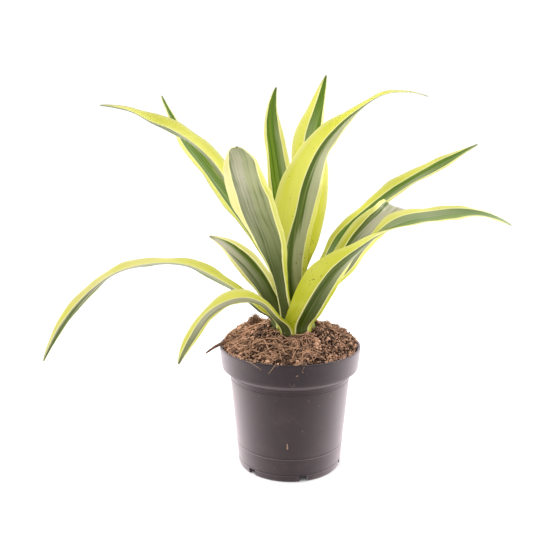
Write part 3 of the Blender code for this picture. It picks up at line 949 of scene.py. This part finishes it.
@dataclass
class Pot:
    """The moulded nursery pot, millimetres."""

    segments: int = 160
    notch_count: int = 6
    notch_first: float = -136.5
    notch_width: float = 7.0
    notch_height: float = 5.2
    notch_length: float = 12.0
    notch_radius: float = 42.5
    gate_place: Place = (0.0, -58.3, 89.2)
    gate_radius: float = 1.9
    gate_depth: float = 1.2
    gate_bevel: float = 0.4
    finish: PlasticFinish = PlasticFinish()
    # The ledge, the foot and the collar wear copies of the plastic as painted shade: less sheen under the
    # collar and on the foot, and a darker colour with less sheen on the collar.
    ledge: PlasticFinish = PlasticFinish("pot_plastic_ledge", sheen=0.3)
    foot: PlasticFinish = PlasticFinish("pot_plastic_foot", sheen=0.9)
    collar: PlasticFinish = PlasticFinish("pot_plastic_collar", colour=srgb(25, 12, 16), sheen=0.8)
    ledge_from: float = 76.0
    collar_from: float = 86.0
    foot_to: float = 20.0
    profile: tuple[tuple[float, float], ...] = (
        (59.0, 105.0), (59.5, 104.95), (59.85, 104.7), (60.0, 104.2), (59.9, 103.2), (59.5, 99.0),
        (58.9, 93.0), (58.42, 88.7), (58.35, 88.0), (58.2, 87.1), (57.8, 86.4), (57.0, 85.7), (52.4, 82.3),
        (51.7, 81.5), (51.3, 80.6), (51.2, 79.0), (51.15, 77.9), (50.85, 77.7), (50.8, 77.3), (51.0, 77.0),
        (50.95, 76.4), (48.6, 50.0), (46.02, 21.9), (45.97, 21.4), (46.07, 20.9), (46.07, 20.3),
        (45.8, 19.9), (45.74, 19.3), (45.05, 12.0), (44.5, 6.9), (44.45, 6.4), (44.57, 6.0), (44.57, 5.4),
        (44.36, 5.0), (44.32, 4.5), (44.1, 2.0), (43.95, 0.9), (43.6, 0.25),
        (43.1, 0.0), (41.5, 0.0), (41.35, 0.3), (41.2, 4.6), (40.8, 5.0), (20.0, 5.0), (0.0, 5.0),
        (0.0, 6.6), (20.0, 6.6), (41.6, 6.6), (42.4, 7.2), (42.7, 8.0), (46.2, 45.0), (49.5, 81.0),
        (49.9, 82.2), (50.6, 83.2), (55.6, 86.9), (56.3, 87.7), (56.7, 89.0), (58.2, 104.2),
        (58.4, 104.75),
    )

    def build(self) -> None:
        """Make the pot, cut its foot and dress it."""
        obj = primitive("nursery_pot", bpy.ops.mesh.primitive_circle_add, vertices=3, radius=0.01)
        mesh = obj.data
        mesh.clear_geometry()
        count = len(self.profile)
        mesh.from_pydata([(r * MM, 0.0, z * MM) for r, z in self.profile],
                         [(i, (i + 1) % count) for i in range(count)], [])
        with editing(obj):
            bpy.ops.mesh.spin(steps=self.segments, angle=math.tau, center=(0, 0, 0), axis=(0, 0, 1))
            bpy.ops.mesh.select_all(action="SELECT")
            bpy.ops.mesh.remove_doubles(threshold=0.01 * MM)
        for i in range(self.notch_count):
            self.cut_notch(obj, math.radians(self.notch_first + i * 360.0 / self.notch_count))
        smooth_by_angle(32)
        for finish in (self.finish, self.ledge, self.foot, self.collar):
            mesh.materials.append(finish.build())
        # Faces under the collar, on the collar and on the foot take the painted-shade copies of the plastic.
        for face in mesh.polygons:
            level = face.center.z / MM
            if face.normal.z < -0.3 and level > self.ledge_from:
                face.material_index = 1
            elif level > self.collar_from:
                face.material_index = 3
            elif level < self.foot_to:
                face.material_index = 2
        hand_over(obj, "pot_plastic", "pot")
        self.gate_mark(mesh.materials[2])

    def gate_mark(self, material: bpy.types.Material) -> None:
        """Make the small round moulding mark at the foot of the collar.

        Args:
            material: What it wears.
        """
        obj = primitive(
            "gate_mark", bpy.ops.mesh.primitive_cylinder_add, vertices=24, radius=self.gate_radius * MM,
            depth=self.gate_depth * MM, location=tuple(c * MM for c in self.gate_place),
            rotation=(math.radians(91), 0, 0))
        settle()
        modify(obj, "BEVEL", width=self.gate_bevel * MM, segments=3)
        smooth_by_angle(40)
        obj.data.materials.append(material)
        hand_over(obj, "pot_plastic")

    def cut_notch(self, obj: bpy.types.Object, angle: float) -> None:
        """Cut one drainage notch through the foot ring.

        Args:
            obj: The pot.
            angle: The notch's place round the ring, in radians.
        """
        out, spare = self.notch_radius * MM, 2.0
        cutter = primitive(
            "notch_cutter", bpy.ops.mesh.primitive_cube_add, size=1.0,
            location=(out * math.cos(angle), out * math.sin(angle), (self.notch_height - spare) * MM / 2),
            rotation=(0.0, 0.0, angle),
            scale=(self.notch_length * MM, self.notch_width * MM, (self.notch_height + spare) * MM))
        modify(obj, "BOOLEAN", object=cutter, solver="EXACT", operation="DIFFERENCE")
        bpy.data.objects.remove(cutter, do_unlink=True)


def from_cane(x: float, y: float) -> float:
    """Give a place's distance from the cane's middle, millimetres."""
    return math.hypot(x - AXIS_X, y)


@dataclass(frozen=True)
class Mound:
    """Top of the soil, millimetres: low in front, with a clump and a collar round the leaf bases."""

    radius: float = 56.0
    front: float = 104.0
    back_rise: float = 8.0
    back_spread: float = 26.0
    middle: float = 113.0
    clump: tuple[float, float] = (-31.0, 30.0)
    clump_width: float = 9.0
    clump_rise: float = 5.0
    collar: float = 121.5
    collar_radius: float = 21.0
    collar_front_drop: float = 4.0
    collar_fall: float = 0.5
    collar_dip: float = 1.5
    blend_height: float = 4.0
    rim: float = 105.8
    rim_radius: float = 57.2
    rim_slope: float = 1.4

    def solid(self, x: float, y: float) -> float:
        """Give the solid's top at a place.

        Args:
            x: Place across, millimetres.
            y: Place in depth, millimetres.

        Returns:
            The level, millimetres.
        """
        out = min(1.0, math.hypot(x, y) / self.radius)
        height = self.front + self.back_rise * (0.5 + 0.5 * math.tanh(y / self.back_spread))
        height += (self.middle - height) * max(0.0, 1.0 - out) ** 0.8
        height += 0.7 * math.sin(x / 5.3 + 0.7) * math.cos(y / 6.1) * min(1.0, out * 1.2)
        height += 0.5 * math.sin(x / 3.1 - y / 4.3)
        far = math.hypot(x - self.clump[0], y - self.clump[1]) / self.clump_width
        return height + self.clump_rise * math.exp(-far * far)

    def top(self, x: float, y: float) -> float:
        """Give the dressed soil's top: heaped up against the leaf bases, and sloping to the rim.

        Args:
            x: Place across, millimetres.
            y: Place in depth, millimetres.

        Returns:
            The level, millimetres.
        """
        out = from_cane(x, y)
        front = max(0.0, math.cos(math.atan2(y, x - AXIS_X) + math.pi / 2.0)) ** 6
        heap = self.collar - self.collar_front_drop * front
        heap -= self.collar_fall * max(0.0, out - self.collar_radius - 1.0)
        heap -= self.collar_dip * max(0.0, self.collar_radius - out)
        low = self.solid(x, y)
        blend = max(0.0, 1.0 - abs(heap - low) / self.blend_height)
        edge = self.rim + self.rim_slope * max(0.0, self.rim_radius - math.hypot(x, y))
        return min(max(heap, low) + blend * blend, edge)


@dataclass
class Soil:
    """Rough bed of peat with loose crumbs, coir fibres and a twig, millimetres."""

    grid: int = 170
    crumbs: int = 5600
    rim_crumbs: int = 520
    bundles: int = 560
    long_strands: int = 420
    sprigs: int = 260
    clump_fibres: int = 420
    clump: tuple[float, float] = (-30.0, 26.0)
    clump_top: float = 8.0
    cane_gap: float = 20.0
    wall: float = 57.0
    depth: float = 16.0
    twig_grain: float = 0.16
    mound: Mound = Mound()
    rng: random.Random = field(default_factory=lambda: random.Random(41))
    earth: EarthFinish = EarthFinish("peat_earth", srgb(34, 20, 14), srgb(106, 70, 54), 1400.0, 1.2)
    crumb: EarthFinish = EarthFinish("peat_crumb", srgb(58, 36, 27), srgb(222, 174, 144))
    fibre: EarthFinish = EarthFinish("coir_fibre", srgb(38, 24, 18), srgb(214, 166, 134), 500.0)
    stray: EarthFinish = EarthFinish("stray_fibre", srgb(92, 66, 52), srgb(178, 146, 122), 500.0)
    wood: EarthFinish = EarthFinish("twig_bark", srgb(66, 42, 34), srgb(140, 104, 84), 1500.0)
    twig_route: tuple[Row, ...] = (
        (-45, -5, 108.2, 1.5), (-53, -7.5, 108.2, 1.8), (-60.3, -10, 107.0, 1.6), (-66, -11.5, 103.6, 1.4),
        (-71.5, -13, 99.8, 1.1))
    stray_routes: tuple[tuple[Place, Place, Place, float], ...] = (
        ((-12.5, -56.0, 106.0), (-14.0, -61.5, 105.0), (-18.5, -60.2, 98.6), 0.34),
        ((-36.0, -48.5, 104.8), (-33.0, -53.0, 106.5), (-24.0, -60.3, 102.0), 0.26),
        ((-28.0, -52.0, 105.2), (-31.0, -55.0, 106.0), (-36.0, -50.5, 105.4), 0.26),
        ((9.0, -54.0, 105.6), (10.0, -61.0, 105.4), (7.4, -60.6, 101.0), 0.28),
        ((30.0, 24.0, 115.0), (34.0, 26.0, 121.5), (44.0, 28.0, 121.0), 0.24),
        ((-47.0, 8.0, 111.0), (-50.0, 6.0, 115.0), (-55.0, 4.0, 113.0), 0.26),
        ((-3.2, -48.2, 31.0), (-3.0, -48.9, 33.5), (-3.4, -49.0, 36.0), 0.75),
        ((3.0, -60.6, 96.6), (3.6, -61.0, 97.2), (4.4, -60.8, 97.4), 0.6),
        ((7.6, -60.0, 99.4), (7.8, -60.4, 99.9), (8.4, -60.2, 100.2), 0.45),
    )

    def build(self) -> None:
        """Make the bed and all that lies on it."""
        self.bed()
        self.copies("peat_crumbs", self.crumb_form(), self.crumb_shapes, self.crumb)
        self.copies("coir_fibres", self.fibre_form(), self.fibre_shapes, self.fibre)
        self.copies("stray_fibres", self.fibre_form(), self.stray_shapes, self.stray)
        self.twig()

    @staticmethod
    def dress(obj: bpy.types.Object, finish: EarthFinish, *nodes: str) -> None:
        """Shade a piece smooth, give it its finish and hand it over.

        Args:
            obj: The piece.
            finish: Its finish.
            nodes: The solids that it stands for.
        """
        mesh = obj.data
        mesh.polygons.foreach_set("use_smooth", [True] * len(mesh.polygons))
        mesh.materials.append(finish.build())
        hand_over(obj, "peat_soil", *nodes)

    def bed(self) -> None:
        """Make the rough soil surface down into the pot."""
        obj = primitive("peat_bed", bpy.ops.mesh.primitive_grid_add,
                        x_subdivisions=self.grid, y_subdivisions=self.grid, size=2.0)
        radius, tones = self.mound.rim_radius, []
        for vertex in obj.data.vertices:
            a, b = vertex.co.x, vertex.co.y
            x = a * math.sqrt(max(0.0, 1.0 - b * b / 2.0)) * radius
            y = b * math.sqrt(max(0.0, 1.0 - a * a / 2.0)) * radius
            rough = noise.fractal(Vector((x / 6.0, y / 6.0, 3.0)), 0.7, 2.1, 6)
            lumps = noise.noise(Vector((x / 9.0, y / 9.0, 8.0)))
            edge = min(1.0, (radius - math.hypot(x, y)) / 3.0 + 0.3)
            top = self.mound.top(x, y)
            level = top - 1.7 + (rough * 2.6 + lumps * 1.8) * edge
            if math.hypot(x, y) > radius - 3.2:  # kept below the rim
                level = min(level, top - 0.6)
            vertex.co = (x * MM, y * MM, level * MM)
            # The colour follows the relief as painted shade: darker in the hollows, paler on the rises.
            tones.append(0.1 + 0.5 * rough + self.tint(x, y))
        set_values(obj.data, "tone", tones)
        with editing(obj):
            bpy.ops.mesh.select_all(action="DESELECT")
            bpy.ops.mesh.select_non_manifold()
            bpy.ops.mesh.extrude_region_move(TRANSFORM_OT_translate={"value": (0, 0, -self.depth * MM)})
            bpy.ops.transform.resize(value=(0.95, 0.95, 0.0), center_override=(0, 0, 90 * MM))
            bpy.ops.mesh.edge_face_add()
        self.dress(obj, self.earth, "soil")

    def spot(self, limit: float) -> tuple[float, float]:
        """Pick a random place on the soil.

        Args:
            limit: How far out it may be.

        Returns:
            Its x and y.
        """
        r = limit * math.sqrt(self.rng.random())
        a = self.rng.random() * math.tau
        return r * math.cos(a), r * math.sin(a)

    @staticmethod
    def tint(x: float, y: float) -> float:
        """Give how much paler the soil is: in patches, and darker in the front edge's shade."""
        patch = 0.5 * noise.noise(Vector((x / 6.5, y / 6.5, 1.3)))
        return patch + 0.04 * math.tanh(-x / 20.0) - 0.25 * max(0.0, min(1.0, (-y - 42.0) / 10.0))

    def copies(self, name: str, form: Form, shapes: Callable[[np.ndarray], Shapes],
               finish: EarthFinish) -> None:
        """Join many shaped copies of one small form into a piece.

        Args:
            name: The piece's name.
            form: The form's points and its triangles.
            shapes: Gives each copy's points in millimetres and its tone.
            finish: The piece's finish.
        """
        points, tones, faces = [], [], []
        for i, (shaped, tone) in enumerate(shapes(form[0])):
            points.append(shaped)
            tones += [tone] * len(shaped)
            faces.append(form[1] + i * len(form[0]))
        mesh = bpy.data.meshes.new(name)
        mesh.from_pydata((np.concatenate(points) * MM).tolist(), [], np.concatenate(faces).tolist())
        obj = bpy.data.objects.new(name, mesh)
        bpy.context.collection.objects.link(obj)
        set_values(mesh, "tone", tones)
        self.dress(obj, finish)

    @staticmethod
    def take_form(obj: bpy.types.Object) -> Form:
        """Read a small object, and remove it.

        Args:
            obj: The object.

        Returns:
            Its points and its triangles.
        """
        obj.data.calc_loop_triangles()
        points = np.array([v.co for v in obj.data.vertices])
        faces = np.array([t.vertices for t in obj.data.loop_triangles])
        bpy.data.objects.remove(obj, do_unlink=True)
        return points, faces

    def crumb_form(self) -> Form:
        """Make the small ball that every crumb is squeezed from."""
        return self.take_form(
            primitive("crumb_form", bpy.ops.mesh.primitive_ico_sphere_add, subdivisions=1, radius=1.0))

    def fibre_form(self) -> Form:
        """Make the short rod that every fibre is bent from.

        Returns:
            Its points and its triangles.
        """
        rod = primitive("fibre_form", bpy.ops.mesh.primitive_cylinder_add,
                        vertices=3, radius=1.0, depth=1.0, end_fill_type="NGON")
        with editing(rod, outward=False):
            for height in (-0.3, -0.1, 0.1, 0.3):
                bpy.ops.mesh.select_all(action="SELECT")
                bpy.ops.mesh.bisect(plane_co=(0, 0, height), plane_no=(0, 0, 1))
        return self.take_form(rod)

    def crumb_shapes(self, form: np.ndarray) -> Shapes:
        """Give the peat crumbs, which are fewer toward the left, and those along the front rim.

        Args:
            form: The ball's points.

        Returns:
            Each crumb's points and its tone.
        """
        draw = self.rng.uniform
        for i in range(self.crumbs + self.rim_crumbs):
            on_rim = i >= self.crumbs
            x, y = self.spot(56.8)
            if on_rim:
                turn, out = math.radians(draw(205.0, 335.0)), draw(56.0, 59.2)
                x, y = out * math.cos(turn), out * math.sin(turn)
            elif from_cane(x, y) < self.cane_gap + 0.5 or (x < 2.0 and self.rng.random() < 0.5):
                continue
            size = draw(0.45, 1.1)
            if self.rng.random() < 0.12:
                size *= 1.9
            size = draw(0.35, 0.8) if on_rim else min(size, self.wall + 0.9 - math.hypot(x, y))
            turned = np.array(Matrix.Rotation(
                self.rng.random() * math.tau, 3, Vector((draw(-1, 1), draw(-1, 1), draw(-1, 1)))))
            scale = np.array([draw(0.6, 1.4), draw(0.6, 1.2), draw(0.5, 1.0)])
            jag = 1.0 + np.array([draw(-0.35, 0.35) for _ in form])[:, None]
            level = 105.0 + draw(0.2, 0.9) if on_rim else self.mound.top(x, y) + draw(-1.8, 1.3)
            yield ((form * jag * scale * size) @ turned.T + np.array((x, y, level)),
                   self.rng.triangular(-0.1, 1.25, 0.3) + self.tint(x, y))

    @staticmethod
    def bent(form: np.ndarray, route: Sequence[Sequence[float]], thick: float) -> np.ndarray:
        """Bend the rod along a curve.

        Args:
            form: The rod's points, along Z from -0.5 to 0.5.
            route: The curve's start, the point that pulls it, and its end, millimetres.
            thick: Its radius at the start, millimetres.

        Returns:
            The bent rod's points.
        """
        first, pull, last = (np.array(p, float) for p in route)
        share = (form[:, 2] + 0.5)[:, None]
        middle = first * (1 - share) ** 2 + pull * 2 * share * (1 - share) + last * share**2
        ahead = last - first
        across = np.cross(ahead, (0.0, 0.0, 1.0))
        across = across / max(np.linalg.norm(across), 0.001)
        up = np.cross(across, ahead)
        up = up / max(np.linalg.norm(up), 0.001)
        size = thick * (1.0 - 0.5 * share)
        return middle + across * form[:, :1] * size + up * form[:, 1:2] * size

    def strand(self, form: np.ndarray, spot: Sequence[float], heading: float, length: float, base: float,
               slant: float, thick: float = 0.0) -> np.ndarray:
        """Lay one bent fibre on the soil.

        Args:
            form: The rod's points.
            spot: The fibre's middle, x and y.
            heading: Its direction, in radians.
            length: Its length.
            base: How far it lies above the soil.
            slant: How far its ends may rise or dip.
            thick: Its radius at the start, or 0 for a random one.

        Returns:
            The fibre's points.
        """
        draw = self.rng.uniform
        half = np.array((math.cos(heading), math.sin(heading), 0.0)) * length / 2.0
        pull = np.array((draw(-1, 1), draw(-1, 1), draw(0.0, 0.7))) * length * 0.35
        route = []
        for point in (-half, pull, half):
            x, y = spot[0] + point[0], spot[1] + point[1]
            rise = base + draw(-slant, slant)
            route.append((x, y, self.mound.top(x, y) + rise + 0.5 * point[2]))
        return self.bent(form, route, thick or self.rng.triangular(0.16, 0.5, 0.24))

    def fibre_shapes(self, form: np.ndarray) -> Shapes:
        """Give the coir fibres: bundles, long pale strands, sprigs at the back and a clump.

        Args:
            form: The rod's points.

        Returns:
            Each fibre's points and its tone.
        """
        rng, draw = self.rng, self.rng.uniform
        for _ in range(self.bundles):
            bx, by = self.spot(56.0)
            if bx > 5.0 and rng.random() < 0.6:
                continue
            heading, tone, base = rng.random() * math.tau, draw(-0.15, 0.6), draw(-0.9, 1.3)
            for _ in range(rng.randint(4, 10)):
                x, y = bx + rng.gauss(0.0, 1.5), by + rng.gauss(0.0, 1.5)
                room = self.wall + 0.6 - math.hypot(x, y)
                if room < 1.0 or from_cane(x, y) < self.cane_gap:
                    continue
                long = draw(9.0, 18.0) if x < 12.0 and rng.random() < 0.2 else draw(3.0, 8.5)
                turn = heading + rng.gauss(0.0, 0.45)
                yield (self.strand(form, (x, y), turn, min(long, 2.0 * room + 2.0), base, 0.8),
                       tone + draw(-0.25, 0.4) + self.tint(x, y))
        for _ in range(self.long_strands):
            x, y = self.spot(52.0)
            if x > 18.0 or from_cane(x, y) < self.cane_gap + 3.0:
                continue
            turn, most = rng.random() * math.pi, 2.0 * (self.wall - math.hypot(x, y)) + 4.0
            long = min(draw(8.0, 19.0), most)
            yield (self.strand(form, (x, y), turn, long, draw(0.6, 1.9), 0.7, draw(0.24, 0.44)),
                   draw(0.7, 1.15))
        for _ in range(self.sprigs):
            turn, out = math.radians(draw(15.0, 190.0)), draw(36.0, 54.0)
            spot = (out * math.cos(turn), out * math.sin(turn))
            yield (self.strand(form, spot, rng.random() * math.pi, draw(3.0, 7.0), 1.8, 3.0),
                   draw(0.2, 1.0))
        for _ in range(self.clump_fibres):
            spot = (rng.gauss(self.clump[0], 3.6), rng.gauss(self.clump[1], 2.6))
            top = self.clump_top * math.exp(-(math.dist(spot, self.clump) / 4.6) ** 2)
            yield (self.strand(form, spot, rng.random() * math.tau, draw(2.5, 7.0), draw(-0.5, top), 2.4),
                   rng.triangular(-0.1, 0.9, 0.25))

    def stray_shapes(self, form: np.ndarray) -> Shapes:
        """Give the few fibres that hang over the rim, and the bits stuck to the pot.

        Args:
            form: The rod's points.

        Returns:
            Each one's points and its tone.
        """
        for *route, thick in self.stray_routes:
            yield self.bent(form, route, thick), self.rng.uniform(0.45, 0.85)

    def twig(self) -> None:
        """Make the twig that sticks out over the rim at the left."""
        places = [tuple(c * MM for c in row[:3]) for row in self.twig_route]
        sizes = [row[3] for row in self.twig_route]
        obj = primitive("twig", bpy.ops.mesh.primitive_circle_add, vertices=10, radius=sizes[0] * MM,
                        fill_type="NGON", location=places[0], rotation=(0.0, math.radians(-90), 0.0))
        settle()
        with editing(obj):
            for before, after, old, new in zip(places, places[1:], sizes, sizes[1:]):
                move = tuple(b - a for a, b in zip(before, after))
                bpy.ops.mesh.extrude_region_move(TRANSFORM_OT_translate={"value": move})
                bpy.ops.transform.resize(value=(new / old,) * 3, center_override=after)
        modify(obj, "SUBSURF", levels=2, render_levels=2)
        for vertex in obj.data.vertices:
            vertex.co += vertex.normal * noise.noise(vertex.co * 900.0) * self.twig_grain * MM
        set_values(obj.data, "tone", 0.45)
        self.dress(obj, self.wood)


@dataclass(frozen=True)
class Panel:
    """One soft square light, metres and watts."""

    name: str
    place: Place
    aim: Place
    size: float
    power: float


@dataclass
class Studio:
    """Pale floor, soft lights and the camera, metres."""

    camera_place: Place = (-0.020, -0.563, 0.275)
    camera_pitch: float = 79.6
    focal: float = 46.2
    sensor: float = 36.0
    nearest: float = 0.01
    front_light: float = 0.75
    back_light: float = 1.55
    backdrop: float = 1.1
    floor_tints: tuple[Colour, Colour] = ((0.955, 0.955, 0.955, 1.0), (0.97, 0.97, 0.97, 1.0))
    panels: tuple[Panel, ...] = (
        Panel("key_panel", (-0.5, -0.7, 1.5), aim=(0, 0, 0.15), size=1.1, power=9.0),
        Panel("left_panel", (-1.2, 0.35, 0.45), aim=(0, 0, 0.12), size=0.9, power=16.0),
        Panel("right_panel", (1.2, 0.35, 0.45), aim=(0, 0, 0.12), size=0.9, power=16.0),
    )

    def build(self) -> None:
        """Set up everything round the object."""
        self.floor()
        self.world()
        for panel in self.panels:
            self.lamp(panel)
        self.camera()

    def floor(self) -> None:
        """Make the pale floor."""
        obj = primitive("studio_floor", bpy.ops.mesh.primitive_plane_add, size=60.0)
        made, bench, shader = blank_material("pale_floor")
        grain = bench.group(grain_group(), Size=6.0)
        tint = bench.mix(grain["Wide"], *self.floor_tints)
        bench.feed(shader, {"Base Color": tint, "Roughness": 0.9, "Specular IOR Level": 0.1})
        obj.data.materials.append(made)
        obj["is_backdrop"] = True

    def world(self) -> None:
        """Set a white surround that lights more from the sides and the back than from the front."""
        world = bpy.data.worlds.new("studio")
        bpy.context.scene.world = world
        world.use_nodes = True
        bench = Bench(world.node_tree)
        depth = bench.split(bench.read("TexCoord", "Generated"))[1]
        light = depth.step(-0.9, 0.7, self.back_light - self.front_light) + self.front_light
        seen = bench.read("LightPath", "Is Camera Ray")
        bench.feed(world.node_tree.nodes["Background"], {
            "Color": (1.0, 1.0, 1.0, 1.0), "Strength": light * (1.0 - seen) + seen * self.backdrop})

    def link(self, name: str, data: bpy.types.ID, place: Place) -> bpy.types.Object:
        """Put a lamp or the camera at its place.

        Args:
            name: The object's name.
            data: The lamp or camera.
            place: Where it is.

        Returns:
            The object.
        """
        obj = bpy.data.objects.new(name, data)
        bpy.context.collection.objects.link(obj)
        obj.location = place
        return obj

    def lamp(self, panel: Panel) -> None:
        """Add one soft light.

        Args:
            panel: What it is like.
        """
        data = bpy.data.lights.new(panel.name, "AREA")
        data.shape, data.size, data.energy = "SQUARE", panel.size, panel.power
        obj = self.link(panel.name, data, panel.place)
        obj.rotation_euler = (Vector(panel.aim) - obj.location).to_track_quat("-Z", "Y").to_euler()

    def camera(self) -> None:
        """Add the camera at the photograph's angle."""
        data = bpy.data.cameras.new("camera")
        data.lens, data.sensor_width, data.clip_start = self.focal, self.sensor, self.nearest
        obj = self.link("camera", data, self.camera_place)
        obj.rotation_euler = (math.radians(self.camera_pitch), 0.0, 0.0)
        bpy.context.scene.camera = obj
        bpy.context.scene.view_settings.view_transform = "Standard"


def write_sizes() -> None:
    """Work out the model's box and the finished look's box; nothing is written."""
    boxes = {name: [list(map(float, corner)) for corner in box]
             for name, box in (("cad", CAD_BOX), ("visual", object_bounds()))}


def main() -> None:
    """Build the studio and the object."""
    logging.basicConfig(level=logging.INFO, format="%(message)s")
    Studio().build()
    Pot().build()
    Soil().build()
    Foliage().build()
    quiet()
    write_sizes()


if __name__ == "__main__":
    main()
